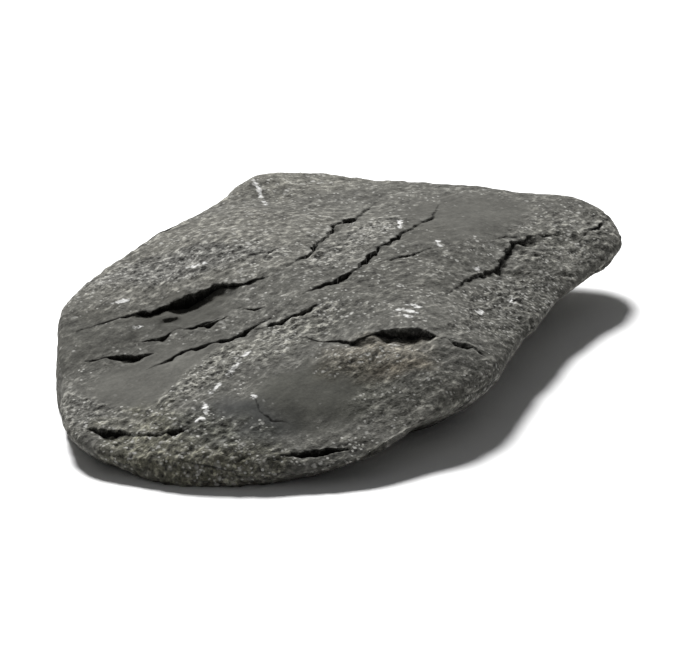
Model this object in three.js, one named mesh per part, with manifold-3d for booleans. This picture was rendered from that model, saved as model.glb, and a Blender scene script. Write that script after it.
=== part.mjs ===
// River rock: a loose, water-worn slab of dark foliated stone, about 170 mm long.
// +X runs along the slab towards its narrow end, +Z is up, and the origin is under the
// middle of the stone, on the surface that it rests on. Millimetres and degrees.
import * as THREE from "three";
import { mergeVertices } from "three/addons/utils/BufferGeometryUtils.js";
import Module from "manifold-3d";

// The heart is the point inside the stone that the reach of every worn face is measured from.
const HEART = new THREE.Vector3(-10.5, 3, 12);
// How crisply the worn faces meet: a higher number leaves tighter edges.
const CRISPNESS = 26;
// The blank is the ellipsoid whose even mesh is worn down to the stone.
const BLANK_HALF_SIZES = new THREE.Vector3(84, 53, 15);
const BLANK_DETAIL = 16;

// The worn faces. Heading is the way a face looks, from +X and anticlockwise from above; tilt
// is how far it looks up from level; reach is its distance from the heart.
const WORN_FACES = [
  { name: "top plates", heading: -90, tilt: 83.7, reach: 12.8 },
  { name: "front slope", heading: 235, tilt: 70.3, reach: 18.9 },
  { name: "front left slope", heading: 195, tilt: 76, reach: 12.9 },
  { name: "narrow end slope", heading: -10, tilt: 86, reach: 14.3 },
  { name: "narrow end", heading: -32, tilt: 30, reach: 86.3 },
  { name: "narrow end back", heading: 4, tilt: 4, reach: 96.8 },
  { name: "right flank", heading: -67, tilt: 66.5, reach: 21.1 },
  { name: "front flank", heading: -92, tilt: 59, reach: 31 },
  { name: "front left flank", heading: 225, tilt: 70, reach: 28.3 },
  { name: "left end", heading: 201, tilt: 20, reach: 72.3 },
  { name: "left flank", heading: 138, tilt: 2, reach: 53.3 },
  { name: "back left", heading: 105, tilt: 8, reach: 44.8 },
  { name: "back", heading: 97, tilt: 10, reach: 45.2 },
  { name: "back right flank", heading: 39, tilt: 8, reach: 74.8 },
  { name: "bed", heading: 0, tilt: -90, reach: 13 },
  { name: "under the narrow end", heading: -10, tilt: -79, reach: 17.9 },
  { name: "under the right flank", heading: -67, tilt: -60, reach: 27.3 },
  { name: "under the front", heading: 240, tilt: -50, reach: 53.1 },
  { name: "under the left end", heading: 165, tilt: -55, reach: 46.7 },
  { name: "under the back", heading: 100, tilt: -55, reach: 38 },
  { name: "right rim", heading: -66, tilt: 2, reach: 53.4 },
  { name: "front left rim", heading: 217, tilt: 4, reach: 75.3 },
];

// Broad hollows in the worn faces, each a round dent; a depth below zero is a swelling.
const HOLLOWS = [
  { name: "hollow under the narrow end", at: [46, -29, 5], radius: 24, depth: 1 },
  { name: "swelling of the right flank", at: [-6, -40, 6], radius: 30, depth: -4.2 },
  { name: "hollow of the front flank", at: [-41, -50, 5], radius: 26, depth: 2 },
  { name: "swelling of the narrow end", at: [77, -12, 13], radius: 19, depth: -2.1 },
  { name: "hollow of the back left", at: [-17, 54, 20], radius: 31, depth: 3.4 },
  { name: "swelling of the back corner", at: [27, 56, 19], radius: 18, depth: -3.3 },
  { name: "swelling behind the narrow end", at: [87, 3, 14], radius: 13, depth: -1.7 },
];

// Low waves left all over the stone: height of each, its length along X and Y, and its shift.
const WAVES = [
  { height: 0.45, length: [62, 47], shift: [0.7, 0.2] },
  { height: 0.25, length: [29, 23], shift: [0.1, 0.6] },
];

// Clefts in the top, where one thin plate of the stone ends on the next. Each path runs from
// left to right along the foot of its wall as [x, y, depth], and the lower plate lies to the
// right of the way along it. Run is how far the floor takes to climb back to the surface, and
// undercut is how far the wall leans over its foot.
const TOP_CLEFTS = [
  {
    name: "hollow ledge",
    path: [[-58, 27, 0.2], [-45, 20, 0.9], [-37, 16, 2.2], [-32, 15, 3.6], [-26, 12, 2.4],
      [-21, 7, 1.1], [-15, 4, 0.3]],
    run: 14,
    undercut: 1.6,
  },
  {
    name: "upper crack",
    path: [[-11, 5, 0.3], [1, 8, 1.3], [10, 13, 1.1], [19, 18, 1.5], [30, 21, 0.8], [41, 27, 0.2]],
    run: 3.5,
    undercut: 0.4,
  },
  {
    name: "long crack",
    path: [[-18, -7, 0.3], [-7, -7, 1.2], [2, -5, 1.5], [16, 1, 1.3], [26, 4, 1], [41, 9, 0.8],
      [51, 16, 0.2]],
    run: 4,
    undercut: 0.4,
  },
  {
    name: "short crack below it",
    path: [[7, -6, 0.2], [15, -6, 0.8], [25, -7, 0.2]],
    run: 3,
    undercut: 0.2,
  },
  {
    name: "left thin ledges",
    path: [[-53, 12, 0.2], [-47, 8, 1], [-43, 7, 0.4], [-38, 2, 0.9], [-33, 0, 0.2]],
    run: 4,
    undercut: 0.2,
  },
  {
    name: "lens pit",
    path: [[-64, 16, 0.2], [-59, 12, 1.4], [-55, 7, 1.2], [-52, 5, 0.2]],
    run: 3,
    undercut: 0.5,
  },
  {
    name: "fine crack",
    path: [[-58, 2, 0.2], [-49, 0, 0.9], [-39, -6, 1], [-33, -7, 0.9], [-28, -8, 0.2]],
    run: 3.5,
    undercut: 0.2,
  },
  {
    name: "junction crack",
    path: [[-34, -8, 0.2], [-28, -11, 1.2], [-21, -12.5, 0.9], [-16, -12.5, 0.2]],
    run: 3,
    undercut: 0.2,
  },
  {
    name: "lower ledge",
    path: [[-30, -18, 0.2], [-28, -24, 0.7], [-25, -30, 1.2], [-21, -32, 1.7], [-18, -34, 2.6],
      [-13, -37, 3.2], [-11, -41, 1.8], [-10, -44, 0.3]],
    run: 10,
    undercut: 1.2,
  },
  {
    name: "flank crack",
    path: [[-10, -43, 0.3], [-7, -45, 1.4], [-4, -47, 1.3], [-2, -50, 0.3]],
    run: 3,
    undercut: 0.3,
  },
  {
    name: "narrow end ledge",
    path: [[9, -26, 0.2], [24, -20, 1], [36, -17, 1.6], [44, -12, 1.7], [52, -9, 1.4],
      [60, -9, 0.8], [68, -12, 0.2]],
    run: 8,
    undercut: 0.4,
  },
  {
    name: "front left ledge",
    path: [[-83, -5, 0.3], [-81, -9, 1.7], [-78, -14, 1.4], [-76, -18, 0.8], [-73, -22, 1.5],
      [-69, -25, 0.3]],
    run: 5,
    undercut: 0.5,
  },
  {
    name: "front ledge",
    path: [[-63, -44.5, 0.2], [-60, -46, 1.2], [-56, -48, 2.2], [-52, -50, 2.4], [-48, -52.5, 0.3]],
    run: 2.5,
    undercut: 0.5,
  },
];

// Ledges round the sides, where the edges of the plates show. Each path is [heading, height,
// depth] as seen from the heart, and the notch opens downwards over its run.
const SIDE_LEDGES = [
  {
    name: "right rim ledge",
    path: [[308, 7, 0.3], [320, 9, 1.1], [335, 10, 1.3], [350, 11, 0.3]],
    run: 4,
  },
  {
    name: "back ledge",
    path: [[52, 14, 0.3], [70, 16, 1.8], [88, 16, 2], [102, 14, 1.2], [114, 12, 0.3]],
    run: 6,
  },
  {
    name: "back lower ledge",
    path: [[96, 8, 0.3], [112, 8, 1.6], [128, 7, 1.8], [142, 7, 0.3]],
    run: 4,
  },
];

const TONE = 0x5d5c59;
// How closely a cut follows its path: in millimetres on the top, and in degrees round the side.
const CLEFT_SPACING = 6;
const LEDGE_SPACING = 5;
// How far a cutter stands clear of the surface, and how little of it is left at the floor's end.
const CUTTER_CLEARANCE = 1.5;
const CUTTER_TOE = 0.1;

// The search for the worn surface starts this far away, comes nearer in steps of this length and
// halves the last step this often.
const SEARCH_REACH = 110;
const SEARCH_STEP = 1;
const SEARCH_HALVINGS = 20;

const UP = new THREE.Vector3(0, 0, 1);
const DOWN = new THREE.Vector3(0, 0, -1);

// A level direction at a heading.
function levelWay(heading) {
  const turn = THREE.MathUtils.degToRad(heading);
  return new THREE.Vector3(Math.cos(turn), Math.sin(turn), 0);
}

const faces = WORN_FACES.map(({ heading, tilt, reach }) => {
  const rise = THREE.MathUtils.degToRad(tilt);
  const normal = levelWay(heading).multiplyScalar(Math.cos(rise)).addScaledVector(UP, Math.sin(rise));
  return { normal, reach };
});

// How deep a round hollow is at a point.
function hollowDepth(point, { at, radius, depth }) {
  const share = point.distanceTo(new THREE.Vector3(...at)) / radius;
  return depth * Math.max(0, 1 - share ** 2) ** 2;
}

// How high a wave stands at a point.
function waveHeight(point, { height, length, shift }) {
  const across = Math.sin(2 * Math.PI * (point.x / length[0] + shift[0]));
  const along = Math.sin(2 * Math.PI * (point.y / length[1] + shift[1]));
  return height * across * along;
}

// How high the waves and the hollows leave the surface above the worn faces at a point.
function riseAt(point) {
  const sunk = HOLLOWS.reduce((total, hollow) => total + hollowDepth(point, hollow), 0);
  const raised = WAVES.reduce((total, wave) => total + waveHeight(point, wave), 0);
  return raised - sunk;
}

// The place on the worn faces along a ray from the heart, and the way out of them there.
function facesAlong(ray) {
  const unit = ray.clone().normalize();
  const outward = new THREE.Vector3();
  let sum = 0;
  for (const { normal, reach } of faces) {
    const nearness = Math.max(0, normal.dot(unit) / reach);
    sum += nearness ** CRISPNESS;
    outward.addScaledVector(normal, nearness ** (CRISPNESS - 1) / reach);
  }
  const place = unit.multiplyScalar(sum ** (-1 / CRISPNESS)).add(HEART);
  return { place, outward: outward.normalize() };
}

// The worn surface along one ray from the heart.
function wornPoint(ray) {
  const { place, outward } = facesAlong(ray);
  return place.clone().addScaledVector(outward, riseAt(place));
}

// Whether a point lies inside the worn surface.
function isInside(point) {
  const { place, outward } = facesAlong(point.clone().sub(HEART));
  return point.clone().sub(place).dot(outward) < riseAt(point);
}

// Where a straight line from outside the stone first meets its worn surface.
function meet(start, way) {
  const place = (distance) => start.clone().addScaledVector(way, distance);
  let far = 0;
  while (!isInside(place(far))) {
    far += SEARCH_STEP;
    if (far > SEARCH_REACH) throw new Error(`a line from ${start.toArray()} misses the stone`);
  }
  let near = far - SEARCH_STEP;
  for (let halving = 0; halving < SEARCH_HALVINGS; halving += 1) {
    const middle = (near + far) / 2;
    if (isInside(place(middle))) far = middle;
    else near = middle;
  }
  return place(far);
}

// The worn top over a place.
function topOver(x, y) {
  return meet(new THREE.Vector3(x, y, SEARCH_REACH), DOWN);
}

// The worn side at a height, on the way out from the heart.
function sideAt(way, height) {
  const start = new THREE.Vector3(HEART.x, HEART.y, height).addScaledVector(way, SEARCH_REACH);
  return meet(start, way.clone().negate());
}

// The even mesh of the blank, worn down to the stone, with its bed ground flat.
function wornStone() {
  const blank = new THREE.IcosahedronGeometry(1, BLANK_DETAIL);
  blank.deleteAttribute("normal");
  blank.deleteAttribute("uv");
  const stone = mergeVertices(blank, 1e-4);
  const at = stone.getAttribute("position");
  for (let i = 0; i < at.count; i += 1) {
    const ray = new THREE.Vector3().fromBufferAttribute(at, i).multiply(BLANK_HALF_SIZES);
    const point = wornPoint(ray);
    at.setXYZ(i, point.x, point.y, Math.max(point.z, 0));
  }
  return stone;
}

// A closed band of four-cornered sections, one after another, with its two ends capped.
function bandOf(sections) {
  const points = sections.flat();
  const corners = 4;
  const index = [];
  for (let s = 0; s + 1 < sections.length; s += 1) {
    for (let c = 0; c < corners; c += 1) {
      const a = s * corners + c;
      const b = s * corners + ((c + 1) % corners);
      index.push(a, b + corners, b, a, a + corners, b + corners);
    }
  }
  const last = points.length - corners;
  index.push(0, 1, 2, 0, 2, 3, last, last + 2, last + 1, last, last + 3, last + 2);
  const band = new THREE.BufferGeometry().setFromPoints(points);
  return band.setIndex(index);
}

// A path with more places put in between its own, so that a cut along it follows the stone.
function finerPath(path, spacing) {
  const finer = [path[0]];
  for (let i = 1; i < path.length; i += 1) {
    const from = path[i - 1];
    const to = path[i];
    const pieces = Math.ceil(Math.hypot(to[0] - from[0], to[1] - from[1]) / spacing);
    for (let piece = 1; piece <= pieces; piece += 1) {
      finer.push(from.map((value, axis) => value + ((to[axis] - value) * piece) / pieces));
    }
  }
  return finer;
}

// The shape to take out for a cleft in the top.
function topCutter({ path, run, undercut }) {
  const [firstX, firstY] = path[0];
  const [lastX, lastY] = path.at(-1);
  const downhill = new THREE.Vector3(lastY - firstY, firstX - lastX, 0).normalize();
  const sections = finerPath(path, CLEFT_SPACING).map(([x, y, depth]) => {
    const lip = topOver(x, y);
    const share = Math.min(1, depth);
    const toe = topOver(x + downhill.x * run * share, y + downhill.y * run * share);
    const root = lip.clone().addScaledVector(UP, -depth).addScaledVector(downhill, -undercut * share);
    return [
      lip.clone().addScaledVector(UP, CUTTER_CLEARANCE),
      root,
      toe.clone().addScaledVector(UP, CUTTER_TOE),
      toe.clone().addScaledVector(UP, CUTTER_CLEARANCE),
    ];
  });
  return bandOf(sections);
}

// The shape to take out for a ledge round the side.
function sideCutter({ path, run }) {
  const sections = finerPath(path, LEDGE_SPACING).map(([heading, height, depth]) => {
    const way = levelWay(heading);
    const lip = sideAt(way, height);
    const share = Math.min(1, depth);
    const toe = sideAt(way, height - run * share);
    return [
      lip.clone().addScaledVector(way, CUTTER_CLEARANCE),
      lip.clone().addScaledVector(way, -depth),
      toe.clone().addScaledVector(way, CUTTER_TOE),
      toe.clone().addScaledVector(way, CUTTER_CLEARANCE),
    ];
  });
  return bandOf(sections);
}

const wasm = await Module();
wasm.setup();

// A closed geometry as a solid that can be cut.
function solidOf(geometry) {
  const vertProperties = new Float32Array(geometry.getAttribute("position").array);
  const triVerts = new Uint32Array(geometry.index.array);
  return new wasm.Manifold(new wasm.Mesh({ numProp: 3, vertProperties, triVerts }));
}

// A solid back as a geometry, moved so that the origin is under its middle.
function geometryOf(solid) {
  const { vertProperties, triVerts } = solid.getMesh();
  const geometry = new THREE.BufferGeometry();
  geometry.setAttribute("position", new THREE.BufferAttribute(vertProperties, 3));
  geometry.setIndex(new THREE.BufferAttribute(triVerts, 1));
  geometry.computeBoundingBox();
  const middle = geometry.boundingBox.getCenter(new THREE.Vector3());
  geometry.translate(-middle.x, -middle.y, -geometry.boundingBox.min.z);
  geometry.computeVertexNormals();
  return geometry;
}

// The stone with every cleft and ledge taken out of it, without the crumbs that fall off.
function splitStone() {
  const cutters = [...TOP_CLEFTS.map(topCutter), ...SIDE_LEDGES.map(sideCutter)];
  const split = cutters.reduce(
    (stone, cutter) => stone.subtract(solidOf(cutter)),
    solidOf(wornStone()),
  );
  return split.decompose().reduce((a, b) => (a.volume() > b.volume() ? a : b));
}

const stone = new THREE.Mesh(
  geometryOf(splitStone()),
  new THREE.MeshStandardMaterial({ color: TONE, roughness: 0.8, metalness: 0 }),
);
stone.name = "river_rock";

const rock = new THREE.Group();
rock.add(stone);

export default rock;
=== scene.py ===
"""River rock: a loose, water-worn slab of dark foliated stone that lies on a white floor.

The stone is worn down from an even blank by the same faces, hollows, clefts and ledges as its
solid, and then weathered much more finely: thin plates, open cracks, pits, lumps and grain.
Its form is worked out in millimetres and turned into metres as the mesh is made.
"""

from __future__ import annotations

import itertools
import logging
import math
from dataclasses import dataclass
from enum import Enum
from typing import Any, Iterable, Sequence, Union

import bpy
import numpy as np
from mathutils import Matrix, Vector

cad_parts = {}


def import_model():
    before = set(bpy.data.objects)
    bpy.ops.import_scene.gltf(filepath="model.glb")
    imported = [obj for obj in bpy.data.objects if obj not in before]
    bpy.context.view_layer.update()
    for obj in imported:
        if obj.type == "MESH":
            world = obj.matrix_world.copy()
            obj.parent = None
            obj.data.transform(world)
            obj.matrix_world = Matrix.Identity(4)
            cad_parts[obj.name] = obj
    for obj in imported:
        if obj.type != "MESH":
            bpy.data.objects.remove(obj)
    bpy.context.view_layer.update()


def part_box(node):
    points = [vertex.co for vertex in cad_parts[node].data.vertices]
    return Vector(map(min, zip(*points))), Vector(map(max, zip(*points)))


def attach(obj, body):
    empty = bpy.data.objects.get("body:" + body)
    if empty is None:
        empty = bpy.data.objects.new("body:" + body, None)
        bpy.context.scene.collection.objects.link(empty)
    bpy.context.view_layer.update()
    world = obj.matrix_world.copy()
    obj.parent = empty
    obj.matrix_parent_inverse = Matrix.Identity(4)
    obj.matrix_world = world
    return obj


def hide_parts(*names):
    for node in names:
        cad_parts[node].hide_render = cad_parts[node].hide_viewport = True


LOG = logging.getLogger("river_rock")

MM = 0.001
UP = np.array([0.0, 0.0, 1.0])
LEVEL = np.array([1.0, 1.0, 0.0])
NODE = "river_rock"
BODY = "root"

Pair = tuple[float, float]
Triple = tuple[float, float, float]
Path = tuple[Triple, ...]
Points = np.ndarray
Values = np.ndarray


def level_way(heading: float) -> Values:
    """A level direction at a heading in degrees, from +X and anticlockwise from above."""
    turn = math.radians(heading)
    return np.array([math.cos(turn), math.sin(turn), 0.0])


def risen_way(heading: float, tilt: float) -> Values:
    """A direction at a heading that looks up from level by a tilt, both in degrees."""
    rise = math.radians(tilt)
    return level_way(heading) * math.cos(rise) + UP * math.sin(rise)


def lengths(vectors: Points) -> Values:
    """The length of each row."""
    return np.sqrt(np.einsum("ij,ij->i", vectors, vectors))


def unit(vectors: Points) -> Points:
    """Each row at length one."""
    return vectors / lengths(vectors)[:, None]


def smooth_step(low: float, high: float, values: Values) -> Values:
    """A soft step from 0 below one value to 1 above another."""
    share = np.clip((values - low) / (high - low), 0.0, 1.0)
    return share * share * (3.0 - 2.0 * share)


def smoother_step(share: Values) -> Values:
    """A soft step from 0 to 1 that is level and unbent at both ends."""
    return share * share * share * (share * (share * 6.0 - 15.0) + 10.0)


def bell(values: Values, middle: float, width: float) -> Values:
    """A bell curve, 1 at its middle."""
    return np.exp(-(((values - middle) / width) ** 2))


def from_share(least: float, share: Union[Values, Wire]) -> Union[Values, Wire]:
    """A share, or a wire that gives one, moved onto the range from the least value to 1."""
    return least + (1.0 - least) * share


class SpaceNoise:
    """Smooth random lumps in space, from about -1 to 1, always the same for one seed."""

    CELLS = 256
    GAIN = 1.6
    LAYER_SHIFT = 17.3

    def __init__(self, seed: int) -> None:
        """Draws the tables of slopes.

        Args:
            seed: the start of the random numbers.
        """
        chance = np.random.default_rng(seed)
        self.shuffle = chance.permutation(self.CELLS).astype(np.int32)
        self.slopes = unit(chance.normal(size=(self.CELLS, 3))).astype(np.float32)

    def at(self, points: Points, size: Union[float, Triple]) -> Values:
        """The lumps at some points.

        Args:
            points: the points, one a row.
            size: how large a lump is, the same all ways or along X, Y and Z.

        Returns:
            One value for each point.
        """
        cells = (points / np.asarray(size)).astype(np.float32)
        corner = np.floor(cells).astype(np.int32)
        share = cells - corner
        fade = smoother_step(share)
        total = np.zeros(len(points), np.float32)
        last = self.CELLS - 1
        for step in itertools.product((0, 1), repeat=3):
            key = (corner + np.array(step, np.int32)) & last
            index = self.shuffle[key[:, 0]]
            index = self.shuffle[(index + key[:, 1]) & last]
            index = self.shuffle[(index + key[:, 2]) & last]
            reach = np.einsum("ij,ij->i", share - np.array(step, np.float32), self.slopes[index])
            weight = np.prod(np.where(np.array(step, bool), fade, 1.0 - fade), axis=1)
            total += weight * reach
        return total * self.GAIN

    def layered(self, points: Points, size: Union[float, Triple], layers: int) -> Values:
        """Lumps with finer and lower lumps on them.

        Args:
            points: the points, one a row.
            size: how large the largest lumps are.
            layers: how many sizes of lump there are, each half the one before.

        Returns:
            One value for each point.
        """
        total = np.zeros(len(points))
        for layer in range(layers):
            moved = points + self.LAYER_SHIFT * layer
            total += self.at(moved, np.asarray(size) / 2**layer) / 2**layer
        return total


@dataclass(frozen=True)
class Lumps:
    """One kind of random lump, in millimetres.

    Size is the same all ways or along X, Y and Z. Layers is how many sizes there are, each
    half the one before, and shift moves the lumps away from another kind's.
    """

    size: Union[float, Triple]
    height: float = 1.0
    layers: int = 1
    shift: float = 0.0

    def rise(self, noise: SpaceNoise, points: Points) -> Values:
        """How high the lumps stand.

        Args:
            noise: the noise that they are drawn from.
            points: the points, one a row.

        Returns:
            The height at each point, from about -height to height.
        """
        moved = points + self.shift
        if self.layers == 1:
            return self.height * noise.at(moved, self.size)
        return self.height * noise.layered(moved, self.size, self.layers)


@dataclass(frozen=True)
class WornFace:
    """One face that water has worn: the way it looks, and its reach from the heart."""

    name: str
    heading: float
    tilt: float
    reach: float

    def normal(self) -> Values:
        """The way the face looks."""
        return risen_way(self.heading, self.tilt)


@dataclass(frozen=True)
class Hollow:
    """A broad round dent in the worn faces; a depth below zero is a swelling."""

    name: str
    at: Triple
    radius: float
    depth: float

    def depth_at(self, points: Points) -> Values:
        """How deep the hollow is at each point."""
        share = lengths(points - np.array(self.at)) / self.radius
        return self.depth * np.clip(1.0 - share**2, 0.0, None) ** 2


@dataclass(frozen=True)
class Wave:
    """A low wave left all over the stone, with its length and its shift along X and Y."""

    height: float
    length: Pair
    shift: Pair

    def height_at(self, points: Points) -> Values:
        """How high the wave stands.

        Args:
            points: the points, one a row.

        Returns:
            The height at each point.
        """
        across = np.sin(2 * np.pi * (points[:, 0] / self.length[0] + self.shift[0]))
        along = np.sin(2 * np.pi * (points[:, 1] / self.length[1] + self.shift[1]))
        return self.height * across * along


@dataclass(frozen=True)
class Cleft:
    """A cleft in the top, where one thin plate of the stone ends on the next.

    The path runs along the foot of the wall as (x, y, depth), and the lower plate lies to the
    right of the way along it. Run is how far the floor takes to climb back to the surface,
    undercut is how far the wall leans over its foot, and gap is how deep the open crack at
    the foot goes, with its width.
    """

    name: str
    path: Path
    run: float
    undercut: float
    gap: float = 0.7
    width: float = 0.45

    def chord(self) -> tuple[Values, Values, Values]:
        """The straight line from the path's first point to its last.

        Returns:
            Its start, the way along it, and the way downhill from it.
        """
        points = np.array(self.path)[:, :2]
        along = points[-1] - points[0]
        along = along / np.hypot(*along)
        return points[0], along, np.array([along[1], -along[0]])

    def past_wall(self, points: Points) -> tuple[Values, Values]:
        """Where points lie beside the cleft's wall.

        Args:
            points: the points, one a row.

        Returns:
            How far each point lies beyond the wall, downhill, and the cleft's depth there.
        """
        start, along, downhill = self.chord()
        knots = np.array(self.path)
        knots_along = (knots[:, :2] - start) @ along
        knots_across = (knots[:, :2] - start) @ downhill
        at = points[:, :2] - start
        place = at @ along
        wall = np.interp(place, knots_along, knots_across)
        depth = np.interp(place, knots_along, knots[:, 2], left=0.0, right=0.0)
        return at @ downhill - wall, depth * np.sqrt(depth / knots[:, 2].max())


@dataclass(frozen=True)
class SideLedge:
    """A ledge round the side, where the edge of a plate shows.

    The path is (heading, height, depth) as seen from the heart, and the notch opens
    downwards over its run.
    """

    name: str
    path: Path
    run: float


@dataclass(frozen=True)
class Patch:
    """A stretch of the surface that is rougher or smoother than the rest, or has its own tint,
    which in a few patches is painted shade and in one painted light.

    Half sizes are along its own length, across it and in height; turn is its heading. It
    fades out from the first share of its half sizes to the second.
    """

    name: str
    at: Triple
    half_sizes: Triple
    turn: float = 0.0
    rough: float = 0.0
    tint: Triple = (1.0, 1.0, 1.0)
    fade: Pair = (0.55, 1.25)

    def share_at(self, points: Points, ragged: Values) -> Values:
        """How much of the patch there is at each point.

        Args:
            points: the points, one a row.
            ragged: how far the patch's edge is moved at each point, as a share of its size.

        Returns:
            From 0 outside it to 1 inside it.
        """
        along = level_way(self.turn)
        across = level_way(self.turn + 90.0)
        at = points - np.array(self.at)
        own = np.stack([at @ along, at @ across, at[:, 2]], axis=1)
        return 1.0 - smooth_step(*self.fade, lengths(own / np.array(self.half_sizes)) + ragged)


@dataclass(frozen=True)
class Vein:
    """A speck or short streak of pale quartz from one point to another, seen from above."""

    start: Pair
    end: Pair
    radius: float

    def distance_at(self, points: Points) -> Values:
        """How far points are from the quartz.

        Args:
            points: the points, one a row.

        Returns:
            The distance of each, below zero inside the quartz.
        """
        start = np.array(self.start)
        along = np.array(self.end) - start
        at = points[:, :2] - start
        share = np.clip(at @ along / float(along @ along), 0.0, 1.0)
        return np.hypot(*(at - share[:, None] * along).T) - self.radius


HEART = np.array([-10.5, 3.0, 12.0])
CRISPNESS = 26
BLANK_HALF_SIZES = np.array([84.0, 53.0, 15.0])
# The distance that is noted where no crack and no quartz is near.
FAR_OFF = 9.0

WORN_FACES = (
    WornFace("top plates", -90, 83.7, 12.8),
    WornFace("front slope", 235, 70.3, 18.9),
    WornFace("front left slope", 195, 76, 12.9),
    WornFace("narrow end slope", -10, 86, 14.3),
    WornFace("narrow end", -32, 30, 86.3),
    WornFace("narrow end back", 4, 4, 96.8),
    WornFace("right flank", -67, 66.5, 21.1),
    WornFace("front flank", -92, 59, 31),
    WornFace("front left flank", 225, 70, 28.3),
    WornFace("left end", 201, 20, 72.3),
    WornFace("left flank", 138, 2, 53.3),
    WornFace("back left", 105, 8, 44.8),
    WornFace("back", 97, 10, 45.2),
    WornFace("back right flank", 39, 8, 74.8),
    WornFace("bed", 0, -90, 13),
    WornFace("under the narrow end", -10, -79, 17.9),
    WornFace("under the right flank", -67, -60, 27.3),
    WornFace("under the front", 240, -50, 53.1),
    WornFace("under the left end", 165, -55, 46.7),
    WornFace("under the back", 100, -55, 38),
    WornFace("right rim", -66, 2, 53.4),
    WornFace("front left rim", 217, 4, 75.3),
)

HOLLOWS = (
    Hollow("hollow under the narrow end", (46, -29, 5), 24, 1),
    Hollow("swelling of the right flank", (-6, -40, 6), 30, -4.2),
    Hollow("hollow of the front flank", (-41, -50, 5), 26, 2),
    Hollow("swelling of the narrow end", (77, -12, 13), 19, -2.1),
    Hollow("hollow of the back left", (-17, 54, 20), 31, 3.4),
    Hollow("swelling of the back corner", (27, 56, 19), 18, -3.3),
    Hollow("swelling behind the narrow end", (87, 3, 14), 13, -1.7),
)

WAVES = (
    Wave(0.45, (62, 47), (0.7, 0.2)),
    Wave(0.25, (29, 23), (0.1, 0.6)),
)

TOP_CLEFTS = (
    Cleft(
        "hollow ledge",
        ((-58, 27, 0.2), (-45, 20, 0.9), (-37, 16, 2.2), (-32, 15, 3.6), (-26, 12, 2.4),
         (-21, 7, 1.1), (-15, 4, 0.3)),
        run=14, undercut=1.6, gap=0.4, width=0.6,
    ),
    Cleft(
        "upper crack",
        ((-11, 5, 0.3), (1, 8, 1.3), (10, 13, 1.1), (19, 18, 1.5), (30, 21, 0.8), (41, 27, 0.2)),
        run=3.5, undercut=0.4, gap=1.0, width=0.5,
    ),
    Cleft(
        "long crack",
        ((-18, -7, 0.3), (-7, -7, 1.2), (2, -5, 1.5), (16, 1, 1.3), (26, 4, 1), (41, 9, 0.8),
         (51, 16, 0.2)),
        run=4, undercut=0.4, gap=1.0, width=0.5,
    ),
    Cleft(
        "short crack below it",
        ((7, -6, 0.2), (15, -6, 0.8), (25, -7, 0.2)),
        run=3, undercut=0.2,
    ),
    Cleft(
        "left thin ledges",
        ((-53, 12, 0.2), (-47, 8, 1), (-43, 7, 0.4), (-38, 2, 0.9), (-33, 0, 0.2)),
        run=4, undercut=0.2,
    ),
    Cleft(
        "lens pit",
        ((-64, 16, 0.2), (-59, 12, 1.4), (-55, 7, 1.2), (-52, 5, 0.2)),
        run=3, undercut=0.5,
    ),
    Cleft(
        "fine crack",
        ((-58, 2, 0.2), (-49, 0, 0.9), (-39, -6, 1), (-33, -7, 0.9), (-28, -8, 0.2)),
        run=3.5, undercut=0.2,
    ),
    Cleft(
        "junction crack",
        ((-34, -8, 0.2), (-28, -11, 1.2), (-21, -12.5, 0.9), (-16, -12.5, 0.2)),
        run=3, undercut=0.2,
    ),
    Cleft(
        "lower ledge",
        ((-30, -18, 0.2), (-28, -24, 0.7), (-25, -30, 1.2), (-21, -32, 1.7), (-18, -34, 2.6),
         (-13, -37, 3.2), (-11, -41, 1.8), (-10, -44, 0.3)),
        run=10, undercut=1.2, gap=0.1, width=0.4,
    ),
    Cleft(
        "flank crack",
        ((-10, -43, 0.3), (-7, -45, 1.4), (-4, -47, 1.3), (-2, -50, 0.3)),
        run=3, undercut=0.3,
    ),
    Cleft(
        "narrow end ledge",
        ((9, -26, 0.2), (24, -20, 1), (36, -17, 1.6), (44, -12, 1.7), (52, -9, 1.4), (60, -9, 0.8),
         (68, -12, 0.2)),
        run=8, undercut=0.4, gap=0.3, width=0.35,
    ),
    Cleft(
        "front left ledge",
        ((-83, -5, 0.3), (-81, -9, 1.7), (-78, -14, 1.4), (-76, -18, 0.8), (-73, -22, 1.5),
         (-69, -25, 0.3)),
        run=5, undercut=0.5, gap=0.6, width=0.8,
    ),
    Cleft(
        "front ledge",
        ((-63, -44.5, 0.2), (-60, -46, 1.2), (-56, -48, 2.2), (-52, -50, 2.4), (-48, -52.5, 0.3)),
        run=2.5, undercut=0.5, gap=0.6, width=0.7,
    ),
)

FINE_CLEFTS = (
    Cleft(
        "hairline on the left plate",
        ((-43, 6, 0.1), (-38, 3, 0.5), (-33, 1, 0.1)),
        run=1.5, undercut=0.1, gap=0.7, width=0.5,
    ),
    Cleft(
        "hairline by the junction",
        ((-31, 1, 0.1), (-28, -2, 0.6), (-26, -4, 0.1)),
        run=1.5, undercut=0.1, gap=0.8, width=0.6,
    ),
    Cleft(
        "hairline of the narrow end",
        ((41, -8, 0.1), (46, -8, 0.5), (53, -8, 0.1)),
        run=1.5, undercut=0.1, gap=0.7, width=0.5,
    ),
    Cleft(
        "tip crack",
        ((66, -14, 0.1), (75, -11, 0.8), (82, -8, 0.5), (86, -6, 0.1)),
        run=2, undercut=0.2, gap=1, width=0.8,
    ),
    Cleft(
        "curved crack of the front",
        ((-53, -27, 0.1), (-56, -32, 0.5), (-56, -36, 0.5), (-52, -39, 0.1)),
        run=1.5, undercut=0.1, gap=0.8, width=0.7,
    ),
    Cleft(
        "hairline behind the upper crack",
        ((-13, 11, 0.1), (-8, 13, 0.5), (-3, 14, 0.1)),
        run=1.5, undercut=0.1, gap=0.7, width=0.6,
    ),
)

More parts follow.
